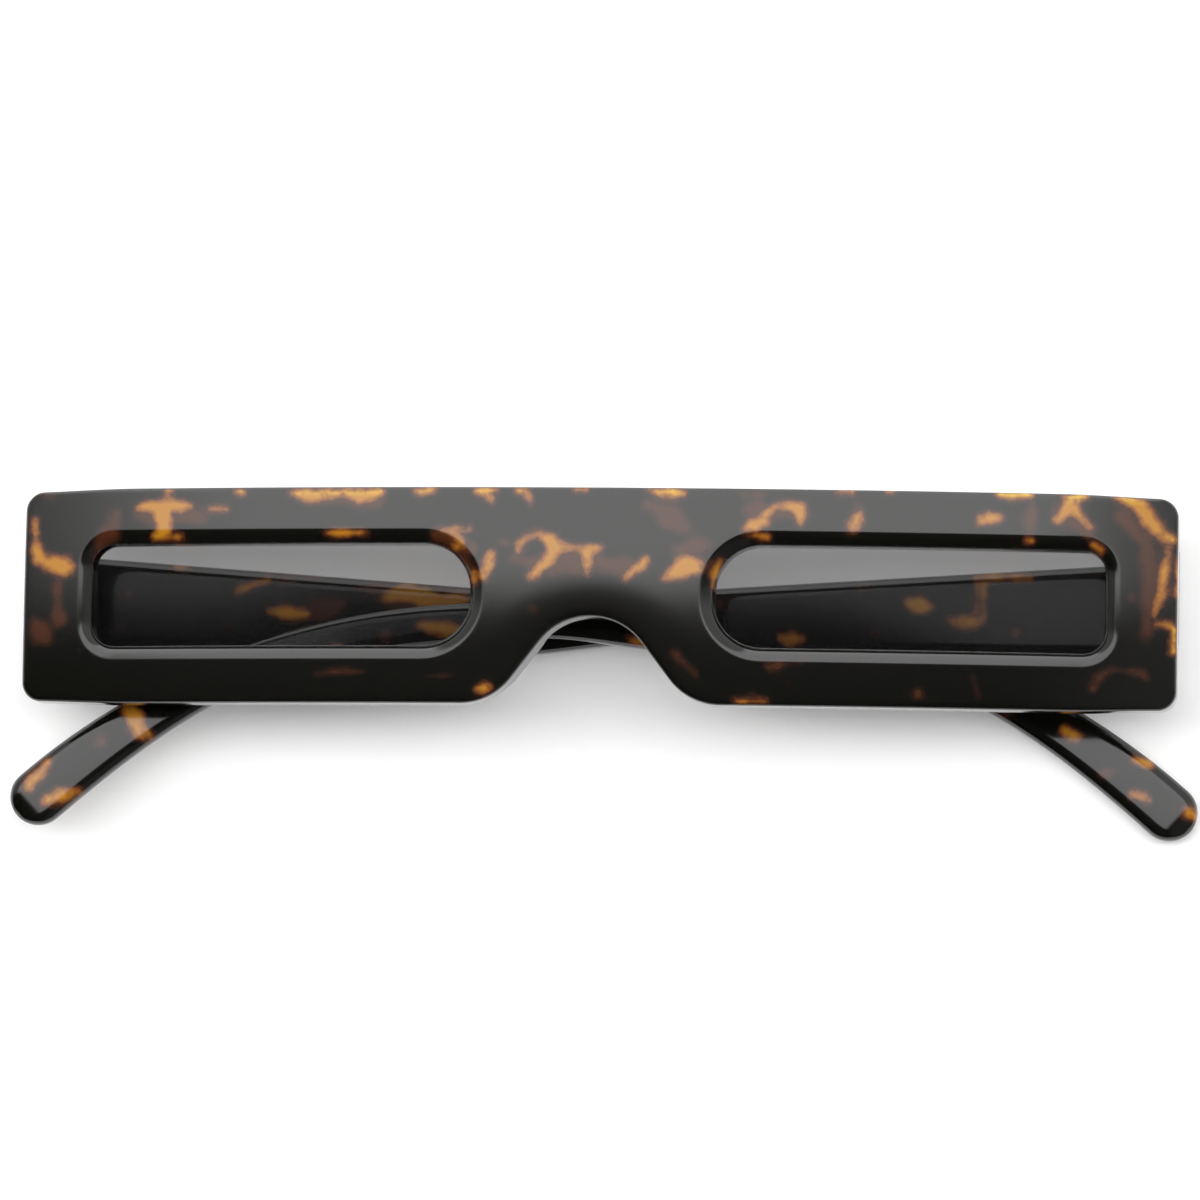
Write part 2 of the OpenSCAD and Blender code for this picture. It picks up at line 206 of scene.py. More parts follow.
def tortoise_material():
    """Dark plastic with brown clouds and amber patches, laid out by how deep a point lies in each, with
    painted light along the front's edge.
    """
    made, n = material("tortoise_plastic")
    place = n.add("ShaderNodeTexCoord").outputs["Object"]
    ragged = n.math("SUBTRACT", n.noise(place, 420.0, 3.0, 0.55), 0.5)
    patch = n.math("ADD", n.attribute("patch"), n.math("MULTIPLY", ragged, 1.5))
    cloudy = n.math("SUBTRACT", n.noise(place, 260.0, 2.0, 0.5), 0.5)
    cloud = n.math("ADD", n.attribute("deep"), n.math("MULTIPLY", cloudy, 3.0))
    dark = (0.0045, 0.0044, 0.0032, 1)
    brown = (0.060, 0.018, 0.007, 1)
    orange = (0.240, 0.080, 0.012, 1)
    amber = (0.47, 0.195, 0.010, 1)
    # the amber painted lighter and yellower: painted light that comes in through the front's edge
    edge_lit_amber = (0.82, 0.500, 0.030, 1)
    base = n.mix(n.step(cloud, -0.5, 1.0), dark, brown)
    base = n.mix(n.step(patch, -0.75, -0.1), base, brown)
    base = n.mix(n.step(patch, -0.25, 0.15), base, orange)
    # towards the front's edge the patches blend into that lighter colour, a painted glow of edge light
    base = n.mix(n.step(patch, 0.05, 0.65), base, n.mix(n.attribute("rim"), amber, edge_lit_amber))
    wave = n.noise(place, 60.0, 1.0, 0.4)
    bump = n.add("ShaderNodeBump", inputs={"Strength": 0.04, "Distance": 0.0004, "Height": wave})
    shader = n.add("ShaderNodeBsdfPrincipled", inputs={
        "Base Color": base, "Roughness": 0.11, "IOR": 1.5, "Coat Weight": 0.35,
        "Coat Roughness": 0.05, "Normal": bump.outputs[0]})
    n.add("ShaderNodeOutputMaterial", inputs={"Surface": shader.outputs[0]})
    return made


def lens_material():
    made, n = material("smoke_lens")
    place = n.add("ShaderNodeTexCoord").outputs["Object"]
    cloud = n.noise(place, 40.0, 1.0, 0.4)
    tint = n.mix(cloud, (0.006, 0.006, 0.0062, 1), (0.008, 0.008, 0.0085, 1))
    shader = n.add("ShaderNodeBsdfPrincipled", inputs={
        "Base Color": tint, "Roughness": 0.06, "IOR": 1.5, "Specular IOR Level": 0.06,
        "Alpha": 0.33})
    n.add("ShaderNodeOutputMaterial", inputs={"Surface": shader.outputs[0]})
    return made


def metal_material():
    made, n = material("hinge_metal")
    place = n.add("ShaderNodeTexCoord").outputs["Object"]
    grain = n.noise(place, 2600.0, 3.0, 0.6)
    tone = n.mix(grain, (0.46, 0.46, 0.45, 1), (0.66, 0.65, 0.63, 1))
    rough = n.math("ADD", n.math("MULTIPLY", grain, 0.16), 0.2)
    bump = n.add("ShaderNodeBump", inputs={"Strength": 0.15, "Distance": 0.00005, "Height": grain})
    shader = n.add("ShaderNodeBsdfPrincipled", inputs={
        "Base Color": tone, "Metallic": 1.0, "Roughness": rough, "Normal": bump.outputs[0]})
    n.add("ShaderNodeOutputMaterial", inputs={"Surface": shader.outputs[0]})
    return made


# Tortoise pattern: each patch is a stroke of (x, y, half width) points, in millimetres.
# Those of the front are placed as they show in the picture.

FRONT_GOLD = [
    # top edge
    [(-53.2, 13.5, 0.3), (-52.6, 13.5, 0.2)],
    [(-44.4, 13.3, 0.25), (-43.6, 13.2, 0.25)],
    [(-37.6, 13.1, 0.3), (-35.8, 12.7, 0.8), (-34.7, 12.5, 0.95), (-33.0, 12.8, 0.7),
     (-30.8, 13.0, 0.5), (-28.8, 12.4, 1.0), (-27.5, 12.8, 0.7), (-26.2, 13.0, 0.35)],
    [(-21.9, 13.1, 0.3), (-20.9, 13.0, 0.5), (-19.8, 13.2, 0.3)],
    [(-14.3, 13.1, 0.3), (-13.2, 12.9, 0.6), (-12.6, 12.2, 0.55), (-12.4, 11.8, 0.25)],
    [(-13.2, 13.0, 0.5), (-11.9, 13.1, 0.35)],
    [(-9.2, 13.1, 0.3), (-8.3, 12.9, 0.55), (-7.7, 12.1, 0.35), (-7.5, 11.6, 0.2)],
    [(-1.9, 13.2, 0.2), (-0.6, 13.2, 0.2)],
    [(7.1, 13.2, 0.25), (8.6, 12.8, 0.45), (10.2, 12.6, 0.6), (11.4, 12.7, 0.35)],
    [(30.8, 13.2, 0.25), (32.2, 13.2, 0.25)],
    [(36.8, 13.2, 0.2), (37.2, 13.2, 0.2)],
    [(50.7, 12.9, 0.4), (52.5, 12.8, 0.65), (54.6, 12.9, 0.4)],
    # right-hand end of the wearer
    [(-70.0, 10.0, 0.35), (-69.9, 8.4, 0.4)],
    [(-69.9, 6.9, 0.5), (-69.4, 5.2, 0.8), (-68.4, 4.6, 0.8)],
    [(-67.8, 4.6, 0.9), (-66.3, 4.2, 1.15), (-65.4, 4.0, 0.6)],
    [(-57.0, 11.4, 0.35), (-55.5, 11.6, 0.8), (-51.6, 11.6, 0.8), (-50.5, 11.5, 0.4)],
    [(-54.0, 11.0, 1.4), (-53.6, 9.6, 1.1), (-53.5, 8.3, 1.0)],
    [(-54.5, 7.8, 0.4), (-53.0, 7.7, 0.45), (-51.5, 7.6, 0.3)],
    [(-47.7, 11.0, 0.15), (-46.5, 11.0, 0.35), (-45.7, 11.0, 0.15)],
    # over the openings' nose ends and the bridge
    [(-32.8, 7.9, 0.3), (-31.0, 7.9, 0.42), (-28.3, 7.9, 0.25)],
    [(-18.6, 8.1, 0.35), (-17.2, 7.9, 0.7), (-16.3, 7.0, 0.75), (-16.0, 6.3, 0.4)],
    [(-16.9, 8.1, 0.6), (-15.3, 8.2, 0.3)],
    [(-16.9, 6.2, 0.4), (-16.4, 6.1, 0.3)],
    [(-12.3, 5.1, 0.4), (-12.6, 3.8, 0.8), (-13.2, 2.4, 0.5)],
    [(-14.5, 2.6, 0.35), (-14.4, 1.9, 0.3)],
    [(-9.1, 5.6, 0.5), (-8.9, 6.2, 0.7), (-7.8, 7.2, 0.45), (-6.5, 7.5, 0.4), (-5.0, 6.7, 0.9),
     (-4.4, 5.8, 1.1), (-5.0, 4.7, 0.7), (-6.1, 3.4, 0.5), (-7.3, 2.3, 0.3)],
    [(-4.0, 5.9, 0.8), (-2.0, 5.8, 0.55), (0.6, 5.8, 0.6), (1.2, 5.8, 0.3)],
    [(-0.5, 5.5, 0.8), (-0.3, 4.0, 0.75), (-0.3, 2.9, 0.35)],
    [(4.6, 2.1, 0.35), (5.8, 3.3, 0.6), (7.0, 4.4, 0.4)],
    [(9.5, 2.2, 0.5), (10.3, 2.6, 0.9), (11.8, 3.5, 1.4), (13.0, 3.6, 1.1), (13.7, 3.6, 0.5)],
    [(16.0, 4.2, 0.35), (15.5, 2.6, 0.4), (15.3, 1.2, 0.3)],
    [(19.3, 8.5, 0.5), (20.2, 8.8, 1.0), (21.4, 9.2, 0.7)],
    [(21.0, 9.4, 0.6), (21.5, 10.0, 0.45), (23.0, 11.2, 0.4), (24.6, 11.2, 0.5),
     (25.8, 10.9, 0.8), (26.0, 10.0, 0.5), (26.0, 9.0, 0.25)],
    [(20.3, 7.5, 0.35), (21.9, 7.3, 0.3)],
    [(33.4, 10.4, 0.35), (33.0, 9.6, 0.75), (32.6, 8.8, 0.75), (32.4, 8.3, 0.4)],
    # left-hand end of the wearer
    [(48.6, 9.6, 0.5), (49.5, 9.9, 0.8), (50.5, 10.1, 0.5)],
    [(54.3, 7.2, 0.25), (54.8, 7.1, 0.25)],
    [(58.7, 12.7, 0.3), (60.0, 12.7, 0.4), (61.3, 12.7, 0.3)],
    [(59.3, 12.2, 0.6), (59.3, 11.3, 1.0)],
    [(59.0, 11.0, 0.8), (57.9, 9.8, 0.35)],
    [(60.0, 11.2, 0.7), (61.2, 9.8, 0.55), (62.0, 8.8, 0.35)],
    [(62.5, 6.8, 0.35), (63.4, 6.1, 0.3)],
    [(65.4, 12.7, 0.5), (66.8, 12.4, 0.8), (68.2, 11.6, 1.0), (69.4, 10.2, 1.0),
     (70.4, 8.8, 0.9), (71.3, 8.0, 0.7), (72.3, 7.5, 0.5)],
    [(71.8, 6.0, 0.4), (71.3, 3.5, 0.65), (70.8, 0.6, 0.6), (70.4, -1.0, 0.4), (70.2, -2.0, 0.2)],
    [(72.9, 5.2, 0.3), (73.1, 3.0, 0.35), (73.0, 0.8, 0.3)],
    [(70.4, -3.0, 0.35), (71.4, -3.0, 0.5), (72.2, -3.1, 0.3)],
    [(72.6, -3.6, 0.4), (72.6, -6.3, 0.35)],
    # bottom edge
    [(-13.8, -11.7, 0.3), (-13.0, -11.6, 0.55), (-12.3, -11.5, 0.3)],
    [(18.5, -13.2, 0.25), (22.0, -13.2, 0.25)],
]
FRONT_BROWN = [
    [(-68.5, 6.0, 0.5), (-68.0, 4.0, 0.6)],
    [(-66.8, 3.0, 0.6), (-66.8, -1.4, 0.5)],
    [(-66.5, -2.2, 0.9)],
    [(-70.0, -2.4, 0.7), (-69.0, -4.0, 1.2), (-68.0, -4.8, 0.6)],
    [(-69.3, 13.0, 0.5), (-68.0, 13.0, 0.5)],
    [(-62.0, 5.4, 0.6), (-60.6, 8.0, 1.3), (-59.4, 11.0, 0.7)],
    [(-57.0, 10.6, 0.9), (-51.0, 10.4, 1.2), (-48.4, 9.9, 0.7)],
    [(-36.0, 12.2, 0.9), (-27.0, 11.8, 1.2)],
    [(-19.0, 7.4, 0.9), (-15.0, 5.6, 0.7)],
    [(-9.5, 4.6, 0.7), (-5.0, 3.8, 1.4), (0.5, 4.2, 1.5), (4.4, 3.6, 1.5)],
    [(7.5, 11.2, 1.0), (9.7, 10.2, 1.8), (11.5, 8.4, 1.0)],
    [(11.0, 5.6, 1.0), (13.6, 6.4, 1.4)],
    [(19.5, 10.6, 0.9), (24.0, 10.4, 1.3), (27.0, 9.8, 0.8)],
    [(33.0, 11.0, 0.7), (32.2, 8.2, 0.8)],
    [(57.6, 11.0, 0.8), (62.0, 8.0, 0.8)],
    [(66.0, 10.4, 1.2), (69.0, 7.0, 1.2), (69.6, 1.0, 1.3), (69.4, -4.0, 1.1)],
    [(67.4, 0.4, 0.6)],
    [(-52.5, 7.6, 0.4), (-51.0, 7.5, 0.4)],
    [(-49.0, 11.2, 0.3), (-46.0, 11.2, 0.5)],
    [(-16.0, 5.2, 0.5), (-14.9, 3.6, 0.5)],
    [(-11.0, 6.6, 0.3), (-10.2, 6.4, 0.5)],
    [(-7.0, -1.7, 0.4)],
    [(1.5, -2.3, 0.3)],
    [(13.8, 3.8, 0.6), (15.4, 4.0, 0.4)],
    [(10.3, -7.0, 0.4), (12.0, -8.4, 0.6), (13.5, -10.0, 0.3)],
    [(19.0, 12.5, 0.3), (21.5, 12.5, 0.3)],
    [(54.8, 11.8, 0.7), (54.7, 10.0, 0.9), (54.5, 8.2, 0.6)],
    [(-33.8, -9.7, 0.3), (-31.5, -9.6, 0.8), (-28.4, -9.6, 0.3)],
    [(-19.8, -10.1, 0.3), (-18.0, -10.0, 0.7), (-16.7, -10.0, 0.3)],
    [(23.2, -8.6, 0.5), (24.5, -8.5, 0.8), (26.3, -8.4, 0.4)],
    [(25.0, -11.0, 0.4)],
    [(20.5, -12.3, 0.4)],
    [(41.0, -12.0, 0.4)],
    [(47.8, -10.3, 0.6), (48.2, -11.4, 0.5), (48.5, -12.4, 0.3)],
    [(62.5, -11.0, 0.4)],
    [(63.0, -10.0, 0.4), (65.0, -8.8, 0.5), (68.0, -8.9, 0.5), (69.5, -10.0, 0.3)],
]
# The temples' own, as distance from the hinge, height and half width.
TEMPLE_GOLD = {
    LEFT: [
        [(14.2, 4.3, 0.4), (17.5, 4.5, 0.55), (21.0, 4.3, 0.4)],
        [(20.3, 3.2, 0.6), (20.2, 1.0, 0.7), (20.0, -0.8, 0.5)],
        [(20.4, -1.4, 0.6), (22.0, -1.5, 0.9), (23.8, -1.4, 0.5)],
        [(26.6, 0.2, 0.6), (28.0, 0.6, 1.2), (29.2, 1.0, 0.6)],
        [(42.9, -3.8, 0.5), (44.0, -3.9, 0.9), (45.1, -3.8, 0.5)],
        [(62.0, -4.3, 0.5), (64.0, -4.2, 0.5)],
        [(72.0, 0.2, 0.5), (74.4, -0.6, 0.9), (76.0, -0.4, 0.4)],
        [(84.5, -3.2, 0.5), (87.5, -3.0, 1.0), (91.0, -2.4, 0.4)],
        [(101.0, -5.6, 0.5), (103.0, -6.4, 0.8), (104.0, -7.6, 0.4)],
        [(127.6, -13.2, 0.8), (126.8, -14.6, 1.2), (126.0, -16.2, 1.0), (125.0, -17.2, 0.6)],
        [(137.6, -20.4, 0.5), (138.6, -21.8, 0.8), (140.0, -23.4, 0.6)],
        [(133.6, -24.0, 0.4), (135.8, -24.6, 0.9), (137.6, -25.2, 0.6)],
    ],
    RIGHT: [
        [(13.0, 5.1, 0.4), (14.4, 5.1, 0.4)],
        [(21.0, 2.0, 0.4), (22.5, 2.6, 0.6), (24.8, 3.4, 0.4)],
        [(25.3, -0.6, 0.6), (27.0, -0.7, 1.1), (29.8, -0.9, 0.6)],
        [(40.2, 1.4, 0.8), (42.5, 2.0, 1.4), (45.0, 1.4, 1.2), (46.6, 0.9, 0.8),
         (48.5, 1.0, 1.2), (50.4, 1.2, 0.6)],
        [(61.0, -2.4, 0.5), (63.0, -1.8, 0.9), (65.5, -2.0, 0.4)],
        [(78.0, -1.4, 0.4), (80.2, -2.2, 0.9), (81.5, -3.4, 0.4)],
        [(95.0, -4.8, 0.5), (97.5, -4.6, 0.8), (99.4, -5.4, 0.4)],
        [(111.0, -8.0, 0.4), (113.0, -9.6, 0.7)],
        [(125.8, -14.6, 0.6), (127.2, -15.4, 0.6)],
        [(134.8, -18.1, 0.5), (136.3, -18.6, 0.6)],
        [(134.2, -22.6, 0.6), (135.9, -23.0, 0.6)],
        [(141.4, -24.8, 0.6), (142.6, -25.2, 0.5)],
    ],
}
TEMPLE_BROWN = {
    LEFT: [
        [(15.5, -2.9, 0.9)], [(35.0, 2.9, 0.8)], [(33.0, -3.0, 0.7)],
        [(52.0, 0.0, 0.5), (56.0, 1.2, 0.9)], [(95.0, -4.0, 0.8)],
        [(114.0, -9.0, 0.5), (117.0, -11.0, 0.9)], [(131.0, -18.0, 0.9)],
    ],
    RIGHT: [
        [(27.0, 3.6, 1.1), (31.0, 4.2, 0.9)], [(31.0, -0.4, 1.6), (34.0, 0.2, 1.0)],
        [(36.5, 2.6, 0.9), (41.0, 1.4, 1.8), (50.0, 1.0, 1.7)],
        [(7.0, 1.6, 0.8)], [(6.0, -2.9, 0.8)], [(19.9, -2.4, 0.9)], [(35.3, -2.9, 0.9)],
        [(55.0, 2.0, 0.8)], [(70.0, -3.0, 0.9)], [(88.0, -1.0, 0.5), (91.0, -2.2, 0.8)],
        [(118.0, -12.0, 0.9)], [(131.0, -20.0, 0.9)],
    ],
}


def in_picture(x, y):
    """Where a point of the front shows in the picture, in millimetres from its middle."""
    narrowing = 0.995
    bow = 0.00014
    shift = 0.15
    turn = 0.0068
    return narrowing * x + bow * x * x + shift, y - turn * x


def depth_in(spots, strokes):
    """How far each spot lies inside the nearest stroke, less than nothing outside it."""
    x, y = np.array(spots).T
    best = np.full(len(x), -9.0)
    for stroke in strokes:
        for (x1, y1, r1), (x2, y2, r2) in zip(stroke, stroke[1:] or stroke):
            dx = x2 - x1
            dy = y2 - y1
            t = np.clip(((x - x1) * dx + (y - y1) * dy) / max(dx * dx + dy * dy, 1e-9), 0, 1)
            best = np.maximum(best, r1 + t * (r2 - r1) - np.hypot(x - x1 - t * dx, y - y1 - t * dy))
    return best


def paint(mesh, name, values):
    mesh.attributes.new(name, "FLOAT", "POINT").data.foreach_set("value", values)


def edge_light(spots):
    """Light comes in through the front's edge, so the pattern is brighter along it."""
    width = 1.3
    x, y = abs(np.array(spots)).T
    return np.clip(1 - np.minimum(HALF_HEIGHT - y, HALF_WIDTH - x) / width, 0, 1)


# Meshes


class Builder:
    """Collects vertices in millimetres, with the place that each takes its pattern from."""

    def __init__(self):
        self.points = []
        self.spots = []
        self.faces = []

    def point(self, place, spot):
        self.points.append(Vector(place))
        self.spots.append(spot)
        return len(self.points) - 1

    def band(self, low, high):
        """Joins two closed rings."""
        for i in range(len(low)):
            j = (i + 1) % len(low)
            self.faces.append((low[i], low[j], high[j], high[i]))

    def mesh(self, name):
        lift = Vector((0, LIFT_Y, LIFT_Z))
        made = bpy.data.meshes.new(name)
        made.from_pydata([(p + lift) * MM for p in self.points], [], self.faces)
        made.polygons.foreach_set("use_smooth", [True] * len(made.polygons))
        made.update()
        return made


def add_piece(name, mesh, body, nodes, shade):
    piece = bpy.data.objects.new(name, mesh)
    scene.collection.objects.link(piece)
    mesh.materials.append(shade)
    weighted = piece.modifiers.new("normals", "WEIGHTED_NORMAL")
    weighted.weight = 60
    weighted.keep_sharp = False
    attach(piece, body)
    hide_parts(*nodes)


def arc(cx, cy, radius, start, end, steps):
    found = []
    for i in range(steps + 1):
        a = math.radians(start + (end - start) * i / steps)
        found.append((cx + radius * math.cos(a), cy + radius * math.sin(a)))
    return found


def between(a, b):
    """Even points on the line from a to b, without its ends."""
    count = max(1, round(math.dist(a, b) / OUTLINE_STEP))
    return [(a[0] + (b[0] - a[0]) * i / count, a[1] + (b[1] - a[1]) * i / count)
            for i in range(1, count)]


# Front

# The nose arch: a round crown, straight flanks and a rounded foot
CROWN_Y = ARCH_HEIGHT - HALF_HEIGHT - ARCH_CROWN
FLANK_X = ARCH_CROWN * math.sin(ARCH_SLOPE)
FLANK_Y = CROWN_Y + ARCH_CROWN * math.cos(ARCH_SLOPE)
FLANK_FOOT_X = FLANK_X + (FLANK_Y + HALF_HEIGHT) / math.tan(ARCH_SLOPE)
FOOT_REACH = ARCH_FOOT * math.tan(ARCH_SLOPE / 2)
FOOT_X = FLANK_FOOT_X + FOOT_REACH

# The nose pads: the middle of each lies behind its flank's middle, a little into the plastic.
PAD_INSET = 2
PAD_X = ((FLANK_X + FOOT_X - FOOT_REACH * (1 + math.cos(ARCH_SLOPE))) / 2
         + PAD_INSET * math.sin(ARCH_SLOPE))
PAD_Y = ((FLANK_Y + FOOT_REACH * math.sin(ARCH_SLOPE) - HALF_HEIGHT) / 2
         + PAD_INSET * math.cos(ARCH_SLOPE))
PAD_RADIUS = 2.25
PAD_STRAIGHT = 2.6
PAD_HEIGHT = 2.55


def level(x, y, depth):
    """Height of the front's surface at a depth below its face, which is a little crowned."""
    crown = FACE_CROWN * y * y * max(0.0, 1 - depth / THICKNESS)
    return math.sqrt((FACE_RADIUS - depth) ** 2 - x * x) - FACE_RADIUS - crown


def edge_height(x):
    """Half the front's height, which is drawn in a little towards its ends."""
    return HALF_HEIGHT - DRAW_IN * smooth(abs(x), HALF_WIDTH - CORNER - DRAW_LENGTH, HALF_WIDTH)


def outer_outline(inset):
    """The front's outline, drawn in by a distance, anticlockwise from the crown of the arch."""
    slope = math.degrees(ARCH_SLOPE)
    corner_x = HALF_WIDTH - CORNER
    corner_y = edge_height(corner_x) - CORNER
    crown = arc(0, CROWN_Y, ARCH_CROWN + inset, 90, 90 - slope, ROUND_STEPS)
    foot = arc(FOOT_X, ARCH_FOOT - HALF_HEIGHT, ARCH_FOOT - inset, 270 - slope, 270, ROUND_STEPS)
    low = arc(corner_x, -corner_y, CORNER - inset, 270, 360, CORNER_STEPS)
    high = arc(corner_x, corner_y, CORNER - inset, 0, 90, CORNER_STEPS)
    bottom = [(x, inset - edge_height(x)) for x, y in between((FOOT_X, 0), (corner_x, 0))]
    top = [(x, edge_height(x) - inset) for x, y in between((corner_x, 0), (0, 0))]
    left_half = (crown + between(crown[-1], foot[0]) + foot + bottom + low
                 + between(low[-1], high[0]) + high + top)
    top_middle = [(0.0, HALF_HEIGHT - inset)]
    return left_half + top_middle + [(-x, y) for x, y in reversed(left_half[1:])]


def eye_outline(side, grow):
    """One opening's outline, grown by a distance, anticlockwise."""
    w = EYE_HALF_WIDTH + grow
    h = EYE_HALF_HEIGHT + grow
    n = EYE_NOSE + grow
    t = EYE_TEMPLE + grow
    ring = arc(w - t, h - t, t, 0, 90, CORNER_STEPS)
    ring += [(x, h) for x, y in between((w - t, 0), (n - w, 0))]
    ring += arc(n - w, h - n, n, 90, 180, ROUND_STEPS)
    ring += arc(n - w, n - h, n, 180, 270, ROUND_STEPS)
    ring += [(x, -h) for x, y in between((n - w, 0), (w - t, 0))]
    ring += arc(w - t, t - h, t, 270, 360, CORNER_STEPS)
    ring += between((w, t - h), (w, h - t))
    ring = [(side * (x + EYE_X), y + EYE_Y) for x, y in ring]
    return ring if side == LEFT else list(reversed(ring))


def inside(spots, ring):
    """Which of the spots lie inside a closed ring."""
    x, y = spots.T
    found = np.zeros(len(x), bool)
    for (x1, y1), (x2, y2) in zip(ring, np.roll(ring, -1, axis=0)):
        if y1 != y2:
            found ^= ((y1 > y) != (y2 > y)) & (x < (x2 - x1) * (y - y1) / (y2 - y1) + x1)
    return found


def grid(spacing):
    """Points at the corners of even triangles over the whole front."""
    rows = np.arange(-HALF_HEIGHT, HALF_HEIGHT, spacing * 0.866)
    columns = np.arange(-HALF_WIDTH, HALF_WIDTH, spacing)
    x, y = np.meshgrid(columns, rows)
    x[1::2] += spacing / 2
    return np.stack((x.ravel(), y.ravel()), axis=1)


def fill(b, rings, spacing, height, flip, dense=None):
    """Fills the sheet between an outer ring and the holes in it with even triangles.

    They are three times finer where dense says so."""
    finer = 3
    off_edge = 0.55
    outline, *holes = [np.array([b.points[i][:2] for i in ring]) for ring in rings]
    known = [i for ring in rings for i in ring]
    flat = [Vector(b.points[i][:2]) for i in known]
    tree = kdtree.KDTree(len(known))
    for k, spot in enumerate(flat):
        tree.insert((spot.x, spot.y, 0), k)
    tree.balance()
    edges = []
    start = 0
    for ring in rings:
        edges += [(start + k, start + (k + 1) % len(ring)) for k in range(len(ring))]
        start += len(ring)

    def covered(spots):
        found = inside(spots, outline)
        for hole in holes:
            found &= ~inside(spots, hole)
        return found

    sets = [(grid(spacing), spacing)]
    if dense:
        coarse = sets[0][0]
        fine = grid(spacing / finer)
        sets = [(coarse[~dense(coarse)], spacing), (fine[dense(fine)], spacing / finer)]
    for spots, gap in sets:
        for x, y in spots[covered(spots)].tolist():
            if tree.find((x, y, 0))[2] > off_edge * gap:
                known.append(b.point((x, y, height(x, y)), (x, y)))
                flat.append(Vector((x, y)))
    verts, _, faces, origin, _, _ = geometry.delaunay_2d_cdt(flat, edges, [], 0, 1e-6)
    middles = np.array([[sum(verts[i][k] for i in face) / 3 for k in (0, 1)] for face in faces])
    for face, keep in zip(faces, covered(middles)):
        if keep:
            corners = [known[origin[i][0]] for i in face]
            b.faces.append(tuple(reversed(corners)) if flip else tuple(corners))


def arch_distance(x, y):
    """Distance from the edge of the nose arch, measured into the plastic."""
    x = abs(x)
    crown = math.hypot(x, y - CROWN_Y) - ARCH_CROWN
    along = (x - FLANK_X) * math.sin(ARCH_SLOPE) + (y - FLANK_Y) * math.cos(ARCH_SLOPE)
    below = (x - FLANK_X) * math.cos(ARCH_SLOPE) - (y - FLANK_Y) * math.sin(ARCH_SLOPE)
    return along if below > 0 else crown


def face_dip(x, y):
    """The face eases down a little round the arch, but not at its feet."""
    depth = 0.08
    reach = 6.0
    foot_start = 6.5
    foot_end = 12.5
    away = max(0.0, arch_distance(x, y))
    return depth * max(0.0, 1 - away / reach) ** 2 * (1 - smooth(-y, foot_start, foot_end))


def pad_swell(x, y):
    """How far the nose pads stand out behind the front: an oblong with a full, rounded top."""
    fullness = 3.2
    roundness = 0.8
    dx = abs(x) - PAD_X
    dy = y - PAD_Y
    along = dx * math.cos(ARCH_SLOPE) - dy * math.sin(ARCH_SLOPE)
    across = dx * math.sin(ARCH_SLOPE) + dy * math.cos(ARCH_SLOPE)
    over = max(0.0, abs(along) - PAD_STRAIGHT)
    reach = math.hypot(over, across) / PAD_RADIUS
    return PAD_HEIGHT * max(0.0, 1 - reach ** fullness) ** roundness if reach < 1 else 0.0


def near_pad(spots):
    radius = 6.5
    return np.hypot(abs(spots[:, 0]) - PAD_X, spots[:, 1] - PAD_Y) < radius


def outer_profile():
    """The outside wall, from the face round to the back, as pairs of inset and depth."""
    edge = 0.62
    wall_depths = (1.6, 2.6, 3.4)
    back_edge = 0.4
    turns = [math.radians(15 * i) for i in range(7)]
    found = [(edge * (1 - math.sin(a)), edge * (1 - math.cos(a))) for a in turns]
    found += [(0, depth) for depth in wall_depths]
    turns = [math.radians(22.5 * i) for i in range(5)]
    return found + [(back_edge * (1 - math.cos(a)), THICKNESS - back_edge * (1 - math.sin(a)))
                    for a in turns]


def eye_profile():
    """An opening's soft shoulder, bevel, wall and back edge, as pairs of growth and depth."""
    shoulder = 0.3
    wall_depths = (1.35, 2.4, 3.3)
    found = [(BEVEL_WIDTH + 2 * shoulder, 0.0), (BEVEL_WIDTH + shoulder, 0.0)]
    for i in range(BEVEL_STEPS + 1):
        u = i / BEVEL_STEPS
        found.append((BEVEL_WIDTH * (1 - u), BEVEL_DEPTH * u ** BEVEL_CURVE))
    found += [(0.0, depth) for depth in wall_depths]
    return found + [(0.0, THICKNESS - 0.35), (0.1, THICKNESS - 0.12), (0.35, THICKNESS)]


def front_ring(b, outline, depth):
    """One ring of the front's walls at a depth below its face."""
    swell_start = THICKNESS - 1.2
    swell_end = THICKNESS - 0.4
    dip_share = max(0.0, 1 - depth / (THICKNESS / 2))
    swell_share = smooth(depth, swell_start, swell_end)
    made = []
    for x, y in outline:
        dip = face_dip(x, y) * dip_share
        swell = pad_swell(x, y) * swell_share
        made.append(b.point((x, y, level(x, y, depth + dip) - swell), (x, y)))
    return made


def add_lug(b, side):
    """The end piece behind one end: a block with round upright edges and a round lower rim."""
    upright_edge = 0.72
    rim = 0.45
    wall_inset = 0.02
    # a height inside the front's own plastic
    top = -8.4
    low = LUG_Z + CLEAR
    x1, x2 = sorted((side * (HALF_WIDTH - LUG_LENGTH), side * (HALF_WIDTH - wall_inset)))
    y1 = LUG_RISE - LUG_HEIGHT / 2
    y2 = LUG_RISE + LUG_HEIGHT / 2

    def ring(inset, z):
        r = upright_edge - inset
        corners = (arc(x2 - inset - r, y2 - inset - r, r, 0, 90, 6)
                   + arc(x1 + inset + r, y2 - inset - r, r, 90, 180, 6)
                   + arc(x1 + inset + r, y1 + inset + r, r, 180, 270, 6)
                   + arc(x2 - inset - r, y1 + inset + r, r, 270, 360, 6))
        return [b.point((x, y, z), (x, y)) for x, y in corners]

    rings = [ring(0, top)]
    for i in range(5):
        a = math.radians(22.5 * i)
        rings.append(ring(rim * (1 - math.cos(a)), low + rim * (1 - math.sin(a))))
    for high, under in zip(rings, rings[1:]):
        b.band(under, high)
    b.faces.append(tuple(reversed(rings[-1])))
    b.faces.append(tuple(rings[0]))


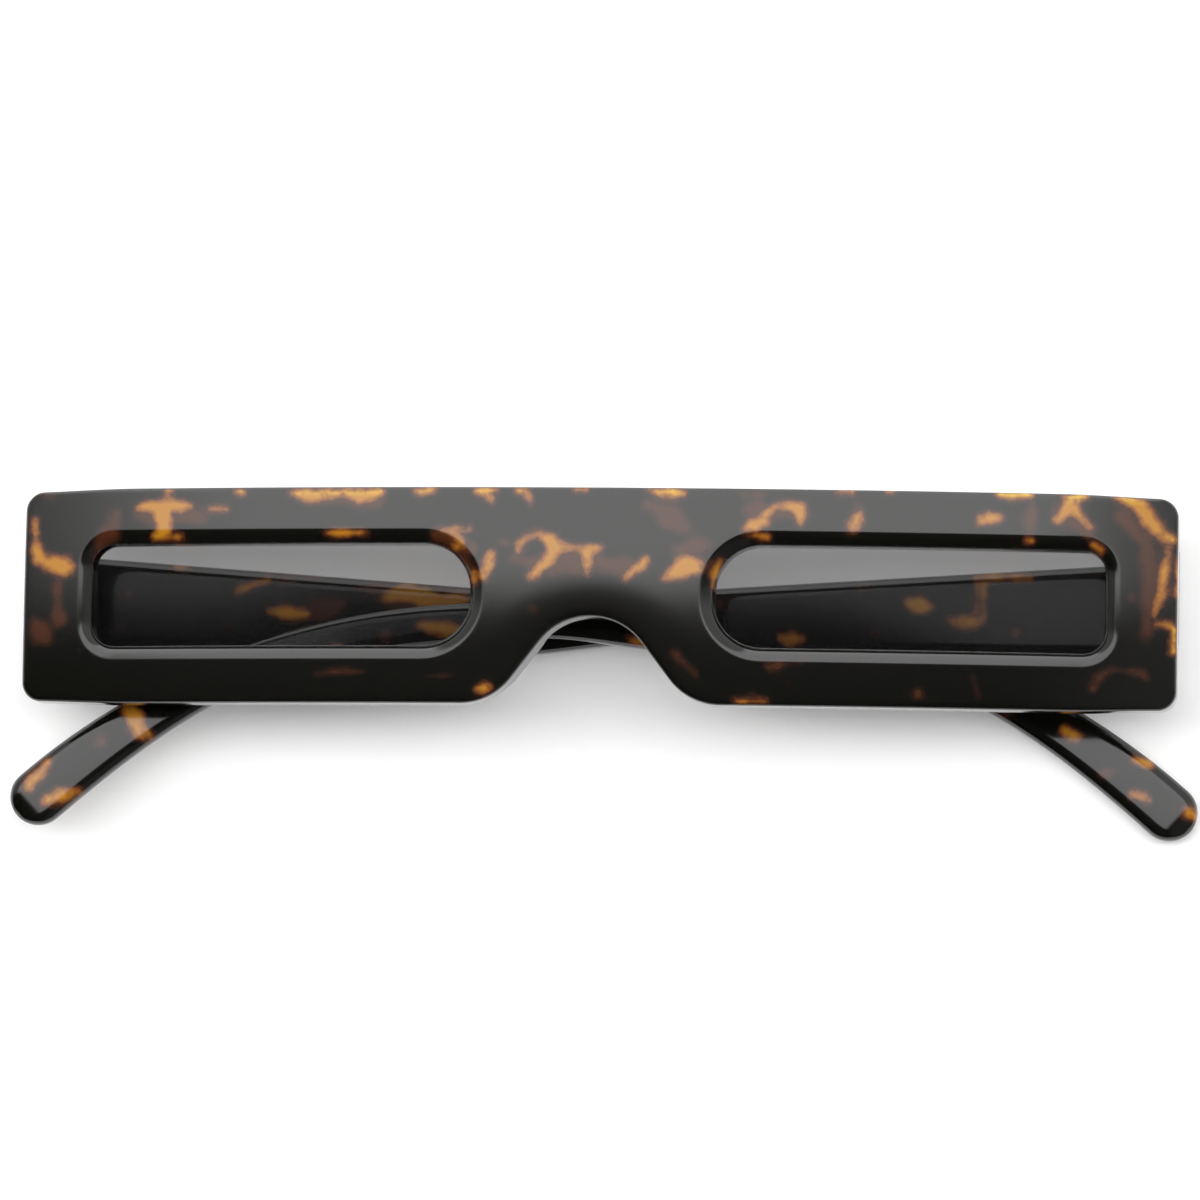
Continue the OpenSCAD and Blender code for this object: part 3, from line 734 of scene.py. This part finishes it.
def build_front(shade):
    b = Builder()
    walls = [front_ring(b, outer_outline(inset), depth) for inset, depth in outer_profile()]
    for low, high in zip(walls[1:], walls):
        b.band(low, high)
    face_rings = [walls[0]]
    back_rings = [walls[-1]]
    for side in (LEFT, RIGHT):
        walls = [front_ring(b, eye_outline(side, grow), depth) for grow, depth in eye_profile()]
        for low, high in zip(walls, walls[1:]):
            b.band(low, high)
        face_rings.append(walls[0])
        back_rings.append(walls[-1])
    fill(b, face_rings, FACE_SPACING, lambda x, y: level(x, y, face_dip(x, y)), False)
    fill(b, back_rings, BACK_SPACING, lambda x, y: level(x, y, THICKNESS) - pad_swell(x, y), True,
         near_pad)
    for side in (LEFT, RIGHT):
        add_lug(b, side)
    mesh = b.mesh("front_shell")
    seen = [in_picture(x, y) for x, y in b.spots]
    paint(mesh, "patch", depth_in(seen, FRONT_GOLD))
    paint(mesh, "deep", depth_in(seen, FRONT_BROWN))
    # how much painted edge light each point takes, more the nearer it lies to the front's edge
    paint(mesh, "rim", edge_light(b.spots))
    add_piece("front_shell", mesh, "front", ["front_frame"], shade)


def build_lens(side, shade):
    """A curved sheet that reaches a little way into the groove round its opening."""
    b = Builder()
    bite = 0.3
    edge = 0.12
    near = LENS_SET_BACK
    far = LENS_SET_BACK + LENS_THICKNESS
    rings = []
    for grow, depth in ((bite - edge, near), (bite, near + edge), (bite, far - edge), (bite - edge, far)):
        rings.append([b.point((x, y, level(x, y, depth)), (x, y)) for x, y in eye_outline(side, grow)])
    for high, low in zip(rings, rings[1:]):
        b.band(low, high)
    fill(b, [rings[0]], LENS_SPACING, lambda x, y: level(x, y, near), False)
    fill(b, [rings[-1]], LENS_SPACING, lambda x, y: level(x, y, far), True)
    name = "lens_sheet_" + WORD[side]
    add_piece(name, b.mesh(name), "front", ["lens_" + WORD[side]], shade)


# Temples

ARM_THICKNESS = 3.2
KNUCKLE = 1.45
SWING_ROOM = 0.15
GAP = KNUCKLE + SWING_ROOM
HINGE_X = HALF_WIDTH - ARM_THICKNESS - GAP
HINGE_Z = LUG_Z - GAP
# Degrees by which each temple, folded, stops short of parallel to the front
FOLD = {LEFT: -1.5, RIGHT: 1.5}

# The top edge, which is straight and then bends down over the ear. Its two drops are in degrees.
ARM_RISE = 6.4
STRAIGHT_END = 88 + KNUCKLE
EAR_RADIUS = 90.5
DROP = 3.9
TIP_DROP = 43.5
BEND = EAR_RADIUS * math.radians(TIP_DROP - DROP)

# Heights of the temple and the distances at which they change
ARM_HEIGHT = 12.3
WAIST_HEIGHT = 8.7
EAR_HEIGHT = 4.9
TIP_HEIGHT = 7.2
TIP_ROUND = TIP_HEIGHT / 2
WAIST = 52
NARROW = 80
WIDEN = 108
FULL = STRAIGHT_END + BEND - TIP_ROUND

# Radii of the edges at the root and along both faces, and what the outer ones gain over the ear
ROOT_EDGE = 0.25
INNER_EDGE = 1.3
OUTER_EDGE = 0.6
OUTER_EDGE_GAIN = 0.7

# The inner face is a little pillowed and leans by some degrees, which change along the temple.
PILLOW = 0.0016
LEAN = {LEFT: (1.25, -0.45), RIGHT: (0.0, -1.0)}
LEAN_CHANGE = (14, 46)
TIP_TWIST = math.radians(2)
TWIST_RISE = (98, 118)


def arm_guide(s):
    """The top edge at a distance along it: how far from the hinge, how high, and its slope."""
    drop = math.radians(DROP)
    along = min(s, STRAIGHT_END)
    r = -KNUCKLE + along * math.cos(drop)
    y = ARM_RISE - KNUCKLE * math.tan(drop) - along * math.sin(drop)
    angle = drop
    if s > STRAIGHT_END:
        angle = drop + (s - STRAIGHT_END) / EAR_RADIUS
        r += EAR_RADIUS * (math.sin(angle) - math.sin(drop))
        y += EAR_RADIUS * (math.cos(angle) - math.cos(drop))
    return r, y, angle


def arm_height(s):
    if s < WAIST:
        return ARM_HEIGHT + (WAIST_HEIGHT - ARM_HEIGHT) * s / WAIST
    return (WAIST_HEIGHT + (EAR_HEIGHT - WAIST_HEIGHT) * smooth(s, WAIST, NARROW)
            + (TIP_HEIGHT - EAR_HEIGHT) * smooth(s, WIDEN, FULL))


def arm_stations():
    """Distances along the temple, close together at its root and round its tip."""
    found = [0.0, 0.06, ROOT_EDGE] + [0.5 + i for i in range(int(FULL))]
    found = [s for s in found if s < FULL - 0.4]
    turns = [8 * i for i in range(10)] + [79, 85]
    return found + [FULL + TIP_ROUND * math.sin(math.radians(a)) for a in turns]


def arm_section(half_width, half_height, inner, outer):
    """A rounded oblong, anticlockwise from where its inner face meets the upper corner."""
    corner_steps = 6
    edge_steps = 3
    face_steps = 14
    found = []
    corners = ((1, 1, inner, 0), (-1, 1, outer, 90), (-1, -1, outer, 180), (1, -1, inner, 270))
    for k, (qw, qh, r, start) in enumerate(corners):
        found += arc(qw * (half_width - r), qh * (half_height - r), r, start, start + 90, corner_steps)
        nw, nh, nr, _ = corners[(k + 1) % 4]
        if k in (0, 2):
            end = (nw * (half_width - nr), nh * half_height)
            steps = edge_steps
        else:
            end = (nw * half_width, nh * (half_height - nr))
            steps = face_steps
        a = found[-1]
        found += [(a[0] + (end[0] - a[0]) * i / steps, a[1] + (end[1] - a[1]) * i / steps)
                  for i in range(1, steps)]
    return found


def arm_ring(b, side, s):
    """The temple's section at one distance, as points of (along, up, thickness) from the hinge."""
    root_slope = 0.8
    # how much of the tip's round keeps its thickness, and of a half size an edge's radius may take
    flat_share = 0.4
    edge_share = 0.9
    full = min(s, FULL)
    over = s - full
    u = over / TIP_ROUND
    r, y, angle = arm_guide(full)
    tilt = angle * smooth(full, 0, WAIST / 2)
    half = arm_height(full) / 2
    r += over * math.cos(tilt) - math.sin(tilt) * half
    y -= over * math.sin(tilt) + math.cos(tilt) * half
    root = max(0.0, ROOT_EDGE - s) * root_slope
    half = half * math.sqrt(1 - u * u) - root
    thinned = max(0.0, (u - flat_share) / (1 - flat_share))
    thick = (ARM_THICKNESS - CLEAR) / 2 * math.sqrt(1 - thinned ** 2) - root
    widest = edge_share * min(half, thick)
    inner = min(INNER_EDGE, widest)
    outer = min(OUTER_EDGE + OUTER_EDGE_GAIN * smooth(s, NARROW, WIDEN), widest)
    first, last = LEAN[side]
    lean = (first + (last - first) * smooth(s, *LEAN_CHANGE)) * (1 - smooth(s, WAIST, NARROW))
    twist = math.tan(TIP_TWIST) * smooth(s, *TWIST_RISE) + math.tan(math.radians(lean))
    ring = []
    for w, h in arm_section(thick, half, inner, outer):
        sink = (twist * h + PILLOW * h * h) * max(0.0, w / thick)
        place = (r + h * math.sin(tilt), y + h * math.cos(tilt),
                 w - sink - GAP - (CLEAR + ARM_THICKNESS) / 2)
        ring.append(b.point(place, (place[0], place[1])))
    return ring


def fold(b, side):
    """Folds the temple, hangs it on its hinge and mirrors it to its side."""
    a = math.radians(FOLD[side])
    for i, p in enumerate(b.points):
        x = p.x * math.cos(a) + p.z * math.sin(a)
        z = -p.x * math.sin(a) + p.z * math.cos(a)
        b.points[i] = Vector((side * (HINGE_X - x), p.y, HINGE_Z + z))
    if side == LEFT:
        b.faces = [tuple(reversed(f)) for f in b.faces]


def build_temple(side, shade):
    b = Builder()
    rings = [arm_ring(b, side, s) for s in arm_stations()]
    for low, high in zip(rings, rings[1:]):
        b.band(low, high)
    b.faces.append(tuple(reversed(rings[0])))
    b.faces.append(tuple(rings[-1]))
    fold(b, side)
    mesh = b.mesh("arm_" + WORD[side])
    paint(mesh, "patch", depth_in(b.spots, TEMPLE_GOLD[side]))
    paint(mesh, "deep", depth_in(b.spots, TEMPLE_BROWN[side]))
    add_piece("arm_" + WORD[side], mesh, WORD[side] + "_temple", ["temple_" + WORD[side]],
              shade)


def dress_metal(name, shade):
    """Gives a solid of the hinge its metal and a small round on its edges, in metres."""
    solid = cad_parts[name]
    solid.data.materials.clear()
    solid.data.materials.append(shade)
    round_over = solid.modifiers.new("edges", "BEVEL")
    round_over.width = 0.00008
    round_over.segments = 2
    round_over.angle_limit = math.radians(40)


# Floor and light


def add_floor():
    """Matt white paper, with a little glow that shows directly, mirrored and through glass."""
    # in metres
    reach = 3.0
    glow_strength = 0.20
    mesh = bpy.data.meshes.new("floor")
    mesh.from_pydata([(-reach, -reach, 0), (reach, -reach, 0), (reach, reach, 0), (-reach, reach, 0)],
                     [], [(0, 1, 2, 3)])
    floor = bpy.data.objects.new("floor", mesh)
    scene.collection.objects.link(floor)
    made, n = material("paper")
    rays = n.add("ShaderNodeLightPath").outputs
    seen = n.math("MAXIMUM", rays["Is Camera Ray"], rays["Is Glossy Ray"])
    seen = n.math("MAXIMUM", seen, rays["Is Transmission Ray"])
    paper = n.add("ShaderNodeBsdfDiffuse", inputs={"Color": (0.85, 0.85, 0.85, 1)})
    glow = n.add("ShaderNodeEmission", inputs={
        "Color": (1, 1, 1, 1), "Strength": n.math("MULTIPLY", seen, glow_strength)})
    both = n.add("ShaderNodeAddShader", inputs={0: paper.outputs[0], 1: glow.outputs[0]})
    n.add("ShaderNodeOutputMaterial", inputs={"Surface": both.outputs[0]})
    mesh.materials.append(made)


def mirrored_light(n, x, y, z):
    """What gloss mirrors: bright towards the top edge, dark towards the bottom, dimmer at both ends."""
    boundary = 0.105
    softness = 0.022
    softer_sideways = 0.35
    bright = 2.5
    dark = 0.03
    ends = 0.3
    ends_lift = 0.15
    right_end = (-0.34, -0.52)
    left_end = (0.19, 0.28)
    soft = n.math("ADD", n.math("MULTIPLY", n.math("SUBTRACT", 1.0, z), softer_sideways), softness)
    upper = n.step(y, n.math("SUBTRACT", boundary, soft), n.math("ADD", boundary, soft))
    light = n.math("ADD", n.math("MULTIPLY", upper, bright), dark)
    dim = n.math("MULTIPLY", light, ends)
    light = n.blend(n.step(x, *right_end), light, dim)
    return n.blend(n.step(x, *left_end), light, n.math("ADD", dim, ends_lift))


def matt_light(n, x, y):
    """What lights matt surfaces: a soft strip overhead, wide along the front and narrow across it."""
    tilt = 0.10
    narrow = 5.4
    wide = 1.3
    strip = 6.2
    elsewhere = 0.15
    strip_edge = (1.9, 0.3)
    along = n.math("MULTIPLY", x, wide)
    across = n.math("MULTIPLY", n.math("SUBTRACT", y, tilt), narrow)
    reach = n.math("ADD", n.math("MULTIPLY", along, along), n.math("MULTIPLY", across, across))
    return n.math("ADD", n.math("MULTIPLY", n.step(reach, *strip_edge), strip), elsewhere)


def add_surround():
    """A world that is plain white to the camera and lights gloss and matt surfaces differently."""
    world = bpy.data.worlds.new("surround")
    world.use_nodes = True
    scene.world = world
    n = Nodes(world.node_tree)
    way = n.add("ShaderNodeTexCoord").outputs["Generated"]
    parts = n.add("ShaderNodeSeparateXYZ", inputs={"Vector": way}).outputs
    x = parts["X"]
    y = parts["Y"]
    z = parts["Z"]
    rays = n.add("ShaderNodeLightPath").outputs
    light = n.blend(rays["Is Diffuse Ray"], mirrored_light(n, x, y, z), matt_light(n, x, y))
    light = n.blend(rays["Is Camera Ray"], light, 1.0)
    background = n.add("ShaderNodeBackground", inputs={"Color": (1, 1, 1, 1), "Strength": light})
    n.add("ShaderNodeOutputWorld", inputs={"Surface": background.outputs[0]})


scene.view_settings.view_transform = "Standard"
add_camera()
add_floor()
add_surround()

tortoise = tortoise_material()
smoke = lens_material()
metal = metal_material()
build_front(tortoise)
for side in (LEFT, RIGHT):
    build_lens(side, smoke)
    build_temple(side, tortoise)
    for part in ("front_leaf_", "temple_leaf_", "hinge_screw_"):
        dress_metal(part + WORD[side], metal)
